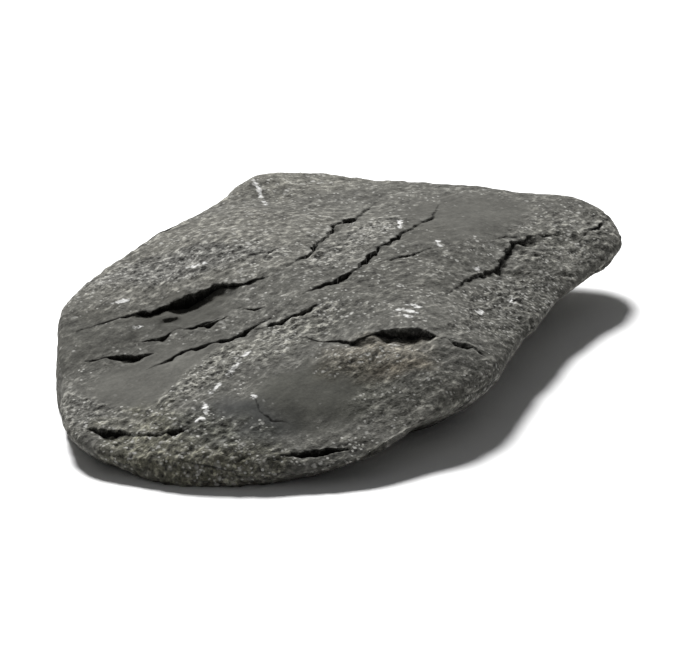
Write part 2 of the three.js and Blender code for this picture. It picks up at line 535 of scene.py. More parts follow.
SIDE_LEDGES = (
    SideLedge("right rim ledge", ((308, 7, 0.3), (320, 9, 1.1), (335, 10, 1.3), (350, 11, 0.3)), 4),
    SideLedge(
        "back ledge",
        ((52, 14, 0.3), (70, 16, 1.8), (88, 16, 2), (102, 14, 1.2), (114, 12, 0.3)),
        6,
    ),
    SideLedge("back lower ledge", ((96, 8, 0.3), (112, 8, 1.6), (128, 7, 1.8), (142, 7, 0.3)), 4),
)

WARM = (1.04, 1.0, 0.96)
COOL = (0.97, 0.98, 1.02)
OLIVE = (0.9, 0.89, 0.76)
BROWN = (1.2, 1.13, 1.04)
BLUISH = (0.58, 0.6, 0.65)
PALE = (1.22, 1.22, 1.22)
BRIGHT = (1.2, 1.2, 1.18)
DIM = (0.8, 0.8, 0.79)
LEDGE_SHADE = (0.5, 0.5, 0.48)

PATCHES = (
    Patch(
        "pale plate at the back", (-22, 31, 24), (48, 24, 9), -12,
        rough=0.2, tint=(1.24, 1.23, 1.21),
    ),
    Patch(
        "pale back right corner", (36, 48, 24), (28, 12, 8), -10,
        rough=0.2, tint=(1.3, 1.29, 1.26),
    ),
    Patch("middle", (4, -13, 22), (28, 14, 8), 10, rough=0.1, tint=(0.84, 0.84, 0.83)),
    Patch("smooth left slope", (-61, -3, 13), (24, 13, 9), -8, rough=-0.8),
    # Painted shade on the left end, which faces away from the key light.
    Patch("dim left end", (-57, 20, 15), (17, 12, 8), -20, rough=-0.2, tint=(0.76, 0.76, 0.75)),
    # Painted shadow: the ledge's wall shades the floor in front of it.
    Patch(
        "smooth floor of the hollow ledge", (-37, 10, 20), (16, 8, 6), -8,
        rough=-0.9, tint=(0.6, 0.6, 0.59),
    ),
    Patch("smooth right plate", (46, 6, 23), (24, 13, 9), 5, rough=-0.7, tint=(0.88, 0.88, 0.88)),
    Patch("dim spot of the right plate", (31, 1, 24), (9, 6, 6), 5, rough=-0.4, tint=DIM),
    Patch(
        "smooth olive face", (-42, -36, 13), (18, 12, 8), -20,
        rough=-0.8, tint=(0.76, 0.77, 0.75),
    ),
    Patch("smooth bluish face", (-63, -30, 10), (14, 11, 7), -50, rough=-0.8, tint=BLUISH),
    # Paler stone and painted fill light on a flank that the key light barely reaches.
    Patch("lower right flank", (-27, -50, 12), (14, 12, 9), -40, rough=0.2, tint=BRIGHT),
    # Painted shade under the front ledge, in place of an undercut.
    Patch("dim front edge", (-50, -52, 6), (15, 4.5, 5), -30, rough=0.5, tint=LEDGE_SHADE),
    Patch("brown rough patch", (-25, -38, 18), (14, 8, 7), -32, rough=0.5, tint=BROWN),
    Patch("olive rim of the patch", (-25, -44, 16), (12, 2.2, 6), -32, rough=0.2, tint=WARM),
    Patch("rough back of the hollow ledge", (-23, 26, 23), (25, 7, 6), -34, rough=1.0, tint=COOL),
    Patch("rough ridge between the cracks", (14, 7, 24), (24, 5, 6), 17, rough=1.0, tint=PALE),
    Patch("rough light ridge", (-54, -12, 15), (20, 5, 8), 4, rough=1.0, tint=BRIGHT),
    Patch("rough junction", (-31, -15, 20), (17, 7, 6), -10, rough=0.9, tint=(1.4, 1.4, 1.38)),
    Patch("rough tip", (66, -15, 17), (26, 12, 9), 10, rough=0.7, tint=(1.08, 1.08, 1.07)),
    Patch("rough right rim", (24, -32, 15), (28, 9, 8), 22, rough=0.8, tint=DIM),
    Patch("dark rough corner", (-10, -51, 9), (11, 8, 7), -10, rough=0.8, tint=DIM),
    Patch("rough left edge", (-79, 0, 9), (7, 16, 8), 0, rough=0.8),
    Patch("olive layered band", (-76, -30, 6), (20, 24, 8), -20, rough=1.0, tint=OLIVE),
)

VEINS = (
    Vein((24, 50), (17, 39), 0.22),
    Vein((-8.5, -29), (-6.5, -31.5), 0.6),
    Vein((-5, -28), (-3.5, -30), 0.45),
    Vein((-11, -31), (-9, -33), 0.22),
    Vein((-48, 15.5), (-47, 15), 0.4),
    Vein((-44, 27), (-41, 25), 0.31),
    Vein((-23.5, 24), (-20.5, 21.5), 0.31),
    Vein((-68, -24), (-66, -24), 0.4),
    Vein((-53, -27), (-53, -29.5), 0.31),
    Vein((27.5, -6.5), (28.5, -5.5), 0.4),
    Vein((29, -17), (30, -16.5), 0.36),
    Vein((32, 10.5), (28.5, 7), 0.36),
    Vein((12, -33.5), (14.5, -32.5), 0.36),
    Vein((27, -30), (28.5, -28.5), 0.27),
    Vein((-40, -13.5), (-43, -14), 0.27),
    Vein((-46, -15), (-50, -16), 0.36),
    Vein((-54, -17), (-57.5, -18.5), 0.31),
    Vein((-61, -20), (-64, -23), 0.27),
)


@dataclass(frozen=True)
class CleftWear:
    """How ragged and how crisp the clefts are, in millimetres.

    A wall strays from its path by its bends, kinks and chips, and a shallow end strays by the
    shallow share of that. The pinches narrow a cleft from place to place, less where it is
    deep. The open crack at its foot and its painted shade lie at shares of the crack's width.
    """

    ragged: float = 0.9
    bends: Lumps = Lumps(4.1)
    kinks: Lumps = Lumps(1.7, 0.6)
    chips: Lumps = Lumps(0.9, 0.3)
    shallow_share: float = 0.35
    pinches: Lumps = Lumps(5.0, 0.8, layers=2)
    pinch_middle: float = 0.62
    pinch_range: Pair = (0.2, 1.1)
    deep: Pair = (1.4, 2.8)
    facing_up: Pair = (-0.05, 0.25)
    edge: float = 0.22
    floor_bend: float = 1.15
    least_run: float = 1e-3
    gap_at: float = 0.35
    gap_spread: float = 0.5
    shade_at: float = 0.2
    shade_spread: float = 0.4
    # The pale lip above each wall: wear, and a painted highlight on the edge.
    lit_worn_lip: float = 0.8


@dataclass(frozen=True)
class LedgeWear:
    """How ragged and how crisp the ledges round the side are, in millimetres.

    A lip strays from its path by its bends, kinks and chips. The openings are the stretches
    where a crack stands open under a ledge. Painted shade lies in a line under each lip.
    """

    ragged: float = 0.6
    bends: Lumps = Lumps(7.0, 1.6)
    kinks: Lumps = Lumps(2.6, 0.8)
    chips: Lumps = Lumps(1.1, 0.3)
    openings: Lumps = Lumps((9.0, 9.0, 20.0), shift=60.0)
    opening_range: Pair = (-0.35, 0.45)
    off_side: Pair = (0.45, 0.8)
    edge: float = 0.2
    least_run: float = 1e-3
    gap: float = 0.8
    gap_at: float = 0.3
    gap_spread: float = 0.4
    shade_at: float = 0.2
    shade_spread: float = 0.35


@dataclass(frozen=True)
class PlateEdges:
    """How the edges of the thin plates show round the sides, in millimetres.

    The plates climb towards the back by the slope. Each one juts out or lies back, turns
    into the next over the last part of its thickness, and has an open gap there in places,
    which gets painted shade as a hollow.
    """

    thickness: float = 1.9
    slope: float = 0.1075
    wobble: Lumps = Lumps((34.0, 34.0, 12.0), 1.6, layers=3)
    jut: Lumps = Lumps((19.0, 19.0, 3.1), 0.5)
    jut_spacing: float = 7.7
    turn: Pair = (0.82, 0.98)
    gap: float = 0.35
    gap_at: float = 0.88
    gap_spread: float = 0.09
    openings: Lumps = Lumps((16.0, 16.0, 5.0))
    opening_share: float = 0.35
    off_side: Pair = (0.35, 0.85)
    smooth_share: float = 0.35
    hollow_shade: float = 1.6


@dataclass(frozen=True)
class TopSteps:
    """The low steps that the plates leave on the top, in millimetres.

    Each step rises over the first share of its spacing. They show only in some spots.
    """

    height: float = 0.35
    spacing: float = 0.55
    bends: Lumps = Lumps((15.0, 6.0, 9.0), 0.9)
    kinks: Lumps = Lumps((6.0, 2.4, 9.0), 0.35)
    rise: Pair = (0.0, 0.18)
    spots: Lumps = Lumps((22.0, 12.0, 9.0), 1.1)
    spot_share: float = 0.4
    on_top: Pair = (0.8, 0.97)
    smooth_share: float = 0.25
    wear: float = 0.5
    worn_range: Pair = (0.1, 0.3)


@dataclass(frozen=True)
class Weather:
    """The lumps, ripples, grain, crumbs and pits all over the stone, in millimetres.

    Plain stone has the plain share of them and the smoothest has the least share. Crumbs and
    pits are only the parts of their lumps above the threshold, and fade faster. Ripple wear
    is the gain, the start and the strength of the pale wear on the crests of the ripples.
    """

    plain_share: float = 0.45
    least_share: float = 0.08
    lumps: Lumps = Lumps(6.5, 0.3, layers=2)
    smooth_lumps: float = 0.35
    ripples: Lumps = Lumps((15.0, 3.2, 5.0))
    ripple_height: float = 0.26
    side_ripples: float = 0.5
    side: Pair = (0.3, 0.8)
    grain: Lumps = Lumps(2.0, 0.24, layers=2)
    crumbs: Lumps = Lumps((2.2, 1.6, 1.6), shift=40.0)
    crumb_height: float = 0.42
    pits: Lumps = Lumps((2.6, 1.8, 1.8))
    pit_depth: float = 0.42
    threshold: float = 0.2
    fading: float = 1.5
    ripple_wear: Triple = (0.9, 0.35, 0.8)
    crumb_wear: float = 2.4


class Maths(Enum):
    """The sums that a Math node is used for here."""

    ADD = "ADD"
    SUBTRACT = "SUBTRACT"
    MULTIPLY = "MULTIPLY"


class Wire:
    """A socket that gives a value, with sums written as Python expressions."""

    def __init__(self, graph: ShaderGraph, socket: bpy.types.NodeSocket) -> None:
        """Keeps the socket and the graph that its sums are added to."""
        self.graph = graph
        self.socket = socket

    def _sum(self, kind: Maths, first: Feed, second: Feed) -> Wire:
        """One Math node on two values."""
        return self.graph.node("ShaderNodeMath", {"operation": kind.value}, {0: first, 1: second})

    def __add__(self, other: Feed) -> Wire:
        """The sum of both."""
        return self._sum(Maths.ADD, self, other)

    def __radd__(self, other: Feed) -> Wire:
        """The sum of both."""
        return self._sum(Maths.ADD, other, self)

    def __sub__(self, other: Feed) -> Wire:
        """This less the other."""
        return self._sum(Maths.SUBTRACT, self, other)

    def __rsub__(self, other: Feed) -> Wire:
        """The other less this."""
        return self._sum(Maths.SUBTRACT, other, self)

    def __mul__(self, other: Feed) -> Wire:
        """The product of both."""
        return self._sum(Maths.MULTIPLY, self, other)

    def __rmul__(self, other: Feed) -> Wire:
        """The product of both."""
        return self._sum(Maths.MULTIPLY, other, self)


Feed = Union[Wire, float, Sequence[float]]


@dataclass(frozen=True)
class Grain:
    """One kind of shader noise: the size of its lumps in millimetres, and how fine it goes."""

    size: float
    detail: float
    rough: float = 0.5


class ShaderGraph:
    """The nodes of one material or world, each added by one method."""

    def __init__(self, owner: Union[bpy.types.Material, bpy.types.World]) -> None:
        """Empties the owner's nodes.

        Args:
            owner: the material or world that the nodes belong to.
        """
        owner.use_nodes = True
        self.tree = owner.node_tree
        self.tree.nodes.clear()

    def node(
        self,
        kind: str,
        settings: dict[str, Any] | None = None,
        feeds: dict[Union[int, str], Feed] | None = None,
        output: Union[int, str] = 0,
    ) -> Wire:
        """Adds a node.

        Args:
            kind: the node's type.
            settings: its own settings, which are set first.
            feeds: values or links for its input sockets.
            output: which output socket is wanted.

        Returns:
            The wanted output, or the first input of a node that has no output.
        """
        made = self.tree.nodes.new(kind)
        for name, value in (settings or {}).items():
            setattr(made, name, value)
        for name, feed in (feeds or {}).items():
            socket = made.inputs[name]
            if isinstance(feed, Wire):
                self.tree.links.new(feed.socket, socket)
            else:
                socket.default_value = feed
        return Wire(self, made.outputs[output] if len(made.outputs) else made.inputs[0])

    def attribute(self, name: str, output: str = "Fac") -> Wire:
        """A value that the mesh holds, or three with the output "Vector"."""
        return self.node("ShaderNodeAttribute", {"attribute_name": name}, output=output)

    def noise(self, place: Wire, grain: Grain) -> Wire:
        """Adds noise of one kind.

        Args:
            place: where each point is, in millimetres.
            grain: the kind of noise.

        Returns:
            From 0 to 1 at each point.
        """
        feeds = {"Vector": place, "Scale": 1.0 / grain.size}
        feeds.update({"Detail": grain.detail, "Roughness": grain.rough})
        return self.node("ShaderNodeTexNoise", feeds=feeds)

    def cells(self, place: Wire, size: float, output: str = "Distance") -> Wire:
        """Scattered cells of a size in millimetres."""
        feeds = {"Vector": place, "Scale": 1.0 / size}
        return self.node("ShaderNodeTexVoronoi", feeds=feeds, output=output)

    def between(self, value: Wire, low: float, high: float) -> Wire:
        """A value's place between two others, as a soft step from 0 to 1."""
        feeds = {"Value": value, "From Min": low, "From Max": high}
        return self.node("ShaderNodeMapRange", {"interpolation_type": "SMOOTHSTEP"}, feeds)

    def blend(self, share: Feed, first: Feed, second: Feed) -> Wire:
        """Two colours mixed by a share."""
        feeds = {0: share, 6: first, 7: second}
        return self.node("ShaderNodeMix", {"data_type": "RGBA"}, feeds, output=2)

    def scaled(self, vector: Feed, size: Feed) -> Wire:
        """A vector at a multiple of its length."""
        feeds = {0: vector, "Scale": size}
        return self.node("ShaderNodeVectorMath", {"operation": "SCALE"}, feeds)

    def times(self, first: Feed, second: Feed) -> Wire:
        """Two vectors multiplied."""
        return self.node("ShaderNodeVectorMath", {"operation": "MULTIPLY"}, {0: first, 1: second})


class StoneGraph(ShaderGraph):
    """The stone's own nodes, with what every layer of its finish starts from.

    Place is in millimetres. Rough is 0 on the smoothest stone and 1 on the roughest, and
    clustered is the same in the clusters that flecks gather in.
    """

    ROUGH_RANGE = (-0.8, 0.9)
    FOLIATION = (0.6, 1.0, 1.0)
    FINE = Grain(1.3, 3.0, 0.65)
    SAND = Grain(0.7, 2.0, 0.6)
    CLUSTERS = Grain(7.0, 2.0)
    CLUSTER_RANGE = (0.35, 0.65)
    OUTSIDE_SHARE = 0.08

    def __init__(self, owner: bpy.types.Material) -> None:
        """Empties the material and adds the shared nodes.

        Args:
            owner: the material.
        """
        super().__init__(owner)
        self.place = self.scaled(self.node("ShaderNodeTexCoord", output="Object"), 1.0 / MM)
        self.rough = self.between(self.attribute("rough"), *self.ROUGH_RANGE)
        self.fine = self.noise(self.times(self.place, self.FOLIATION), self.FINE)
        self.sand = self.noise(self.place, self.SAND)
        cluster = self.between(self.noise(self.place, self.CLUSTERS), *self.CLUSTER_RANGE)
        self.clustered = from_share(self.OUTSIDE_SHARE, cluster) * self.rough


@dataclass(frozen=True)
class Tone:
    """A linear grey, warmer or cooler by a share."""

    value: float
    warmth: float = 0.0
    red_gain: float = 0.2

    def colour(self) -> tuple[float, float, float, float]:
        """The tone as a colour for a socket."""
        red = self.value * (1.0 + self.red_gain * self.warmth)
        return (red, self.value, self.value * (1.0 - self.warmth), 1.0)


@dataclass(frozen=True)
class Flecks:
    """Pale flecks of one size: mineral grains, and at the finest size painted glints of mica.

    Size is that of the cells in millimetres, each of which may hold a fleck. Share is how many
    cells hold one on smooth stone, with the rough share on top where it is rough. Strength is
    how well a fleck hides the stone.
    """

    size: float
    share: float
    rough_share: float
    strength: float
    picked: Pair = (0.98, 1.12)
    edge: Pair = (0.5, 0.15)
    ragged: float = 0.9

    def mask(self, graph: StoneGraph, ragged: Wire) -> Wire:
        """Where the flecks show.

        Args:
            graph: the stone's nodes.
            ragged: noise that breaks up the edges of the flecks.

        Returns:
            From 0 beside the flecks to 1 on them.
        """
        colour = graph.cells(graph.place, self.size, "Color")
        chance = graph.node("ShaderNodeSeparateColor", feeds={0: colour})
        share = self.share + graph.clustered * self.rough_share
        picked = graph.between(chance + share, *self.picked)
        shape = graph.cells(graph.place, self.size) + (ragged - 0.5) * self.ragged
        return graph.between(shape, *self.edge) * picked


@dataclass(frozen=True)
class StoneFinish:
    """The stone's finish: dark slate with grain, pale flecks and painted glints, quartz, and
    painted shade in its cracks and hollows.

    Each pair is the range of a noise or of a value of the mesh over which a thing comes in,
    and each share is how well it then hides the tone under it. Sizes are in millimetres.
    """

    body: Tone = Tone(0.092, 0.1)
    mottle: Grain = Grain(9.0, 3.0)
    mottle_share: float = 0.7
    light_specks: Pair = (0.52, 0.68)
    light_speck_gain: Pair = (0.2, 1.9)
    dark_specks: Pair = (0.5, 0.34)
    dark_speck_gain: Pair = (0.15, 0.45)
    sand_share: float = 0.5
    pale: Tone = Tone(0.4, 0.06)
    # Painted glints: the finest pale flecks stand in for mica catching the light.
    painted_glints: Flecks = Flecks(0.85, 0.03, 0.5, 0.75)
    fleck: Flecks = Flecks(1.4, 0.02, 0.3, 0.7)
    large_fleck: Flecks = Flecks(2.4, 0.01, 0.1, 0.6)
    # Painted shade: dark spots in rough stone stand in for shade in pits too fine for the mesh.
    pit: Tone = Tone(0.025, 0.05)
    pit_size: float = 1.3
    pit_ragged: float = 0.8
    pit_shade_range: Pair = (0.3, 0.1)
    pit_shade_share: float = 0.75
    # Painted shade in the hollows: the pits and the gaps between plates.
    hollow_shade: Tone = Tone(0.025, 0.08)
    hollow_shade_range: Pair = (0.0, 0.5)
    hollow_shade_share: float = 0.7
    # Pale wear, with painted highlight on the cleft lips.
    worn_range: Pair = (0.3, 0.7)
    wear_and_highlight_share: float = 0.3
    quartz: Tone = Tone(0.62, 0.02)
    quartz_ragged: float = 3.2
    quartz_range: Pair = (0.45, -0.35)
    quartz_share: float = 0.85
    broken: Grain = Grain(1.6, 2.0, 0.6)
    # Near-black painted shade at the foot of the cracks and under the ledges.
    crack: Tone = Tone(0.008, 0.1)
    crack_shade_ragged: float = 0.5
    crack_shade_range: Pair = (0.45, -0.15)
    crack_shade_share: float = 0.92
    roughness: float = 0.9
    fine_roughness: float = 0.25
    fleck_polish: float = 0.2
    quartz_polish: float = 0.25
    crack_roughness: float = 0.25
    gloss: float = 0.04
    dust: Grain = Grain(0.3, 1.0)
    sand_height: float = 0.6
    fine_height: float = 0.9
    dust_height: float = 0.25
    smooth_height: float = 0.2
    bump: float = 0.9
    bump_height: float = 0.42

    def material(self) -> bpy.types.Material:
        """The finish as a material.

        Returns:
            The new material.
        """
        made = bpy.data.materials.new("water_worn_slate")
        graph = StoneGraph(made)
        fleck = self.fleck.mask(graph, graph.fine)
        quartz = self.quartz_mask(graph)
        crack = self.crack_shade_mask(graph)
        tone = self.flecked(graph, self.body_tone(graph), fleck)
        tone = self.weathered(graph, tone)
        tone = graph.blend(quartz, tone, self.quartz.colour())
        # Painted shade: the cracks are darkened nearly to black.
        tone = graph.blend(crack * self.crack_shade_share, tone, self.crack.colour())
        roughness = self.roughness + (graph.fine - 0.5) * self.fine_roughness
        roughness = roughness - fleck * self.fleck_polish - quartz * self.quartz_polish
        roughness = roughness + crack * self.crack_roughness
        surface = graph.node("ShaderNodeBsdfPrincipled", feeds={
            "Base Color": tone,
            "Roughness": roughness,
            "Specular IOR Level": self.gloss,
            "Normal": self.relief(graph),
        })
        graph.node("ShaderNodeOutputMaterial", feeds={"Surface": surface})
        return made

    def quartz_mask(self, graph: StoneGraph) -> Wire:
        """Where the veins' quartz shows, broken up by noise.

        Args:
            graph: the stone's nodes.

        Returns:
            The share of quartz, from 0 to nearly 1.
        """
        broken = (graph.noise(graph.place, self.broken) - 0.5) * self.quartz_ragged
        shown = graph.between(graph.attribute("quartz") + broken, *self.quartz_range)
        return shown * self.quartz_share

    def crack_shade_mask(self, graph: StoneGraph) -> Wire:
        """Where painted shade darkens the cracks, from 0 to 1."""
        ragged = (graph.fine - 0.5) * self.crack_shade_ragged
        return graph.between(graph.attribute("crack") + ragged, *self.crack_shade_range)

    def body_tone(self, graph: StoneGraph) -> Wire:
        """The slate itself: mottled and speckled, in the tint of each patch, in a few painted shade
        and light.

        Args:
            graph: the stone's nodes.

        Returns:
            The colour.
        """
        mottle = graph.noise(graph.place, self.mottle)
        smooth, gain = self.light_speck_gain
        light_specks = graph.between(graph.fine, *self.light_specks) * (smooth + gain * graph.rough)
        smooth, gain = self.dark_speck_gain
        dark_specks = graph.between(graph.fine, *self.dark_specks) * (smooth + gain * graph.rough)
        light = 1.0 + (mottle - 0.5) * self.mottle_share + light_specks - dark_specks
        light = light + (graph.sand - 0.5) * (self.sand_share + graph.rough)
        tone = graph.scaled(self.body.colour()[:3], light)
        return graph.times(tone, graph.attribute("tint", "Vector"))

    def flecked(self, graph: StoneGraph, tone: Wire, fleck: Wire) -> Wire:
        """A tone with the pale mineral flecks and the painted glints on it.

        Args:
            graph: the stone's nodes.
            tone: the colour under the flecks.
            fleck: where the middle size of fleck shows.

        Returns:
            The colour with its flecks.
        """
        for kind, mask in (
            (self.painted_glints, self.painted_glints.mask(graph, graph.sand)),
            (self.fleck, fleck),
            (self.large_fleck, self.large_fleck.mask(graph, graph.fine)),
        ):
            tone = graph.blend(mask * kind.strength, tone, self.pale.colour())
        return tone

    def weathered(self, graph: StoneGraph, tone: Wire) -> Wire:
        """A tone with painted shade in its pits and hollows, and pale edges of wear and painted
        highlight.

        Args:
            graph: the stone's nodes.
            tone: the colour before.

        Returns:
            The colour after.
        """
        # Painted shade of pits too fine for the mesh.
        pit_shape = graph.cells(graph.place, self.pit_size) + (graph.fine - 0.5) * self.pit_ragged
        pits = graph.between(pit_shape, *self.pit_shade_range) * graph.rough
        tone = graph.blend(pits * self.pit_shade_share, tone, self.pit.colour())
        # Painted shade: the hollows that the mesh notes are darkened.
        hollow_shade = graph.between(graph.attribute("cavity"), *self.hollow_shade_range)
        tone = graph.blend(hollow_shade * self.hollow_shade_share, tone, self.hollow_shade.colour())
        # Pale wear, with painted highlight on the cleft lips.
        worn = graph.attribute("wear") * graph.between(graph.fine, *self.worn_range)
        return graph.blend(worn * self.wear_and_highlight_share, tone, self.pale.colour())

    def relief(self, graph: StoneGraph) -> Wire:
        """The grain that is too fine for the mesh, as a bump.

        Args:
            graph: the stone's nodes.

        Returns:
            The bent normal.
        """
        height = graph.sand * self.sand_height + graph.fine * self.fine_height
        height = height + graph.noise(graph.place, self.dust) * self.dust_height
        return graph.node("ShaderNodeBump", feeds={
            "Strength": self.bump,
            "Distance": self.bump_height * MM,
            "Height": height * from_share(self.smooth_height, graph.rough),
        })


@dataclass
class SplitStone:
    """The stone's points as the work goes on, with what its finish needs to know of each."""

    points: Points
    normals: Points
    # How far each point is from the painted shade of the cracks.
    crack: Values
    # How pale each point is from wear, with painted highlight on the cleft lips.
    wear: Values
    rough: Values
    tint: Points
    quartz: Values
    # How much painted shade each hollow gets.
    cavity: Values

    @classmethod
    def plain(cls, points: Points, normals: Points) -> SplitStone:
        """A stone with nothing on it yet.

        Args:
            points: its points, one a row.
            normals: the way it faces at each.

        Returns:
            The stone.
        """
        far = np.full(len(points), FAR_OFF)
        none = np.zeros(len(points))
        tint = np.ones_like(points)
        return cls(points, normals, far, none, none.copy(), tint, far.copy(), none.copy())

    def note_crack_shade(self, near: Values, share: Values) -> None:
        """Notes painted crack shade where it is nearer than that before, by how much of it shows.
        """
        self.crack = np.minimum(self.crack, near + FAR_OFF * (1.0 - share))

    def note_wear_and_highlight(self, wear: Values) -> None:
        """Notes pale stone where it is paler than before: wear, and painted highlight on cleft
        lips.
        """
        self.wear = np.maximum(self.wear, wear)


def ball_corners() -> tuple[Points, list[tuple[int, ...]]]:
    """The twelve corners and twenty triangles that an even ball starts from.

    Returns:
        The corners, and the numbers of each triangle's three corners.
    """
    golden = (1 + math.sqrt(5)) / 2
    one_edge = 2.1
    corners = [(a, b * golden, 0.0) for a in (-1.0, 1.0) for b in (-1.0, 1.0)]
    corners = np.array([np.roll(corner, shift) for shift in range(3) for corner in corners])
    pairs = {
        (a, b) for a, b in itertools.combinations(range(len(corners)), 2)
        if np.linalg.norm(corners[a] - corners[b]) < one_edge
    }
    trios = itertools.combinations(range(len(corners)), 3)
    return corners, [trio for trio in trios if pairs.issuperset(itertools.combinations(trio, 2))]


def divided_triangle(steps: int) -> tuple[Points, np.ndarray]:
    """One triangle divided evenly.

    Args:
        steps: how often each of its edges is divided.

    Returns:
        The share of each of its three corners in every point, and the small triangles.
    """
    rows, columns = np.meshgrid(np.arange(steps + 1), np.arange(steps + 1), indexing="ij")
    total = rows + columns
    inside = total <= steps
    number = np.full(rows.shape, -1)
    number[inside] = np.arange(inside.sum())
    shares = np.stack([rows[inside], columns[inside], steps - total[inside]], 1) / steps
    own, down, right, across = number[:-1, :-1], number[1:, :-1], number[:-1, 1:], number[1:, 1:]
    upright = np.stack([own, down, right], -1)[total[:-1, :-1] < steps]
    turned = np.stack([down, across, right], -1)[total[:-1, :-1] < steps - 1]
    return shares, np.concatenate([upright, turned])


def even_ball(steps: int) -> tuple[Points, np.ndarray]:
    """The even mesh of a ball.

    Args:
        steps: how often each edge of its twenty triangles is divided.

    Returns:
        The directions of its points and the corners of each triangle.
    """
    finest = 1e5
    corners, faces = ball_corners()
    shares, small = divided_triangle(steps)
    points, triangles = [], []
    for trio in faces:
        a, b, c = corners[list(trio)]
        outward = np.dot(np.cross(b - a, c - a), a + b + c) > 0
        triangles.append((small if outward else small[:, ::-1]) + len(points) * len(shares))
        points.append(shares @ np.stack([a, b, c]))
    points = unit(np.concatenate(points))
    same_place = np.round(points * finest).astype(np.int64)
    _, first, same = np.unique(same_place, axis=0, return_index=True, return_inverse=True)
    return points[first], same.reshape(-1)[np.concatenate(triangles)]


@dataclass
class RiverRock:
    """The whole stone: one piece, worn, split and weathered.

    Steps is how often each edge of the blank's twenty triangles is divided, and triangles is
    how many are kept at last.
    """

    name: str = "worn_stone"
    steps: int = 200
    triangles: int = 192_000
    seed: int = 41
    cleft_wear: CleftWear = CleftWear()
    ledge_wear: LedgeWear = LedgeWear()
    plates: PlateEdges = PlateEdges()
    top_steps: TopSteps = TopSteps()
    weather: Weather = Weather()
    patch_edges: Lumps = Lumps(7.0, 0.3, layers=3)
    quartz_on_top: Pair = (0.1, 0.5)
    finish: StoneFinish = StoneFinish()

    def __post_init__(self) -> None:
        """Draws the random lumps that every later step shares."""
        self.noise = SpaceNoise(self.seed)
        self.other_noise = SpaceNoise(self.seed + 1)
        self.normals = np.array([face.normal() for face in WORN_FACES])
        self.reaches = np.array([face.reach for face in WORN_FACES])

    def worn(self, rays: Points) -> tuple[Points, Points]:
        """The worn surface along rays from the heart.

        Args:
            rays: the directions, at any length.

        Returns:
            The points of the surface and the ways that it faces there.
        """
        ways = unit(rays)
        near = np.clip(ways @ self.normals.T / self.reaches, 0.0, None)
        points = HEART + ways * (near**CRISPNESS).sum(1, keepdims=True) ** (-1 / CRISPNESS)
        normals = unit(near ** (CRISPNESS - 1) @ (self.normals / self.reaches[:, None]))
        rise = sum(wave.height_at(points) for wave in WAVES)
        rise = rise - sum(hollow.depth_at(points) for hollow in HOLLOWS)
        return points + normals * rise[:, None], normals

    def open_clefts(self, stone: SplitStone, clefts: Iterable[Cleft]) -> None:
        """Sinks the top along each cleft, with a ragged wall and an open crack at its foot.

        Args:
            stone: the stone so far, which is changed.
            clefts: the clefts to open.
        """
        wear = self.cleft_wear
        rest = stone.points.copy()
        warp = wear.bends.rise(self.noise, rest) + wear.kinks.rise(self.other_noise, rest)
        warp = warp + wear.chips.rise(self.noise, rest)
        pinch = wear.pinch_middle + wear.pinches.rise(self.other_noise, rest * LEVEL)
        pinch = np.clip(pinch, *wear.pinch_range)
        facing_up = smooth_step(*wear.facing_up, stone.normals[:, 2])
        for cleft in clefts:
            past, depth = cleft.past_wall(rest)
            depth = depth * (pinch + (1.0 - pinch) * smooth_step(*wear.deep, depth))
            here = depth > 0.0
            strength = np.minimum(1.0, depth)
            past = past + wear.ragged * warp * from_share(wear.shallow_share, strength)
            run = np.maximum(cleft.run * strength, wear.least_run)
            wall = smooth_step(-wear.edge, wear.edge, past)
            floor = np.clip(1.0 - np.clip(past, 0.0, None) / run, 0.0, 1.0) ** wear.floor_bend
            gap = cleft.gap * bell(past, wear.gap_at * cleft.width, wear.gap_spread * cleft.width)
            sink = (depth * wall * floor + gap * strength**2 * wall) * facing_up * here
            stone.points[:, 2] -= sink
            lean = cleft.undercut * strength * wall * floor * here * facing_up
            _, _, downhill = cleft.chord()
            stone.points[:, :2] -= lean[:, None] * downhill
            # Painted shade: a dark line along the foot of each wall.
            near = np.abs(past - wear.shade_at * cleft.width)
            near = near - wear.shade_spread * cleft.width * strength
            stone.note_crack_shade(np.where(here, near, FAR_OFF), facing_up)
            # Pale lip along the top of each wall: wear and painted highlight.
            stone.note_wear_and_highlight(bell(past, -wear.lit_worn_lip, wear.lit_worn_lip) * strength * facing_up * here)

    def cut_ledges(self, stone: SplitStone) -> None:
        """Cuts the ledges into the sides.

        Args:
            stone: the stone so far, which is changed.
        """
        wear = self.ledge_wear
        rest = stone.points.copy()
        away = rest - HEART
        heading = np.degrees(np.arctan2(away[:, 1], away[:, 0])) % 360.0
        outward = unit(away * LEVEL + 1e-9)
        warp = wear.bends.rise(self.noise, rest) + wear.kinks.rise(self.other_noise, rest)
        warp = warp + wear.chips.rise(self.other_noise, rest)
        opened = smooth_step(*wear.opening_range, wear.openings.rise(self.noise, rest))
        side = 1.0 - smooth_step(*wear.off_side, np.abs(stone.normals[:, 2]))
        for ledge in SIDE_LEDGES:
            knots = np.array(ledge.path)
            lip = np.interp(heading, knots[:, 0], knots[:, 1])
            depth = np.interp(heading, knots[:, 0], knots[:, 2], left=0.0, right=0.0)
            below = lip - rest[:, 2] + wear.ragged * warp
            strength = np.minimum(1.0, depth)
            run = np.maximum(ledge.run * strength, wear.least_run)
            wall = smooth_step(-wear.edge, wear.edge, below)
            notch = depth * wall * np.clip(1.0 - np.clip(below, 0.0, None) / run, 0.0, 1.0) * side
            gap = wear.gap * opened * strength * wall
            gap = gap * bell(below, wear.gap_at, wear.gap_spread) * side
            stone.points -= outward * (notch + gap)[:, None]
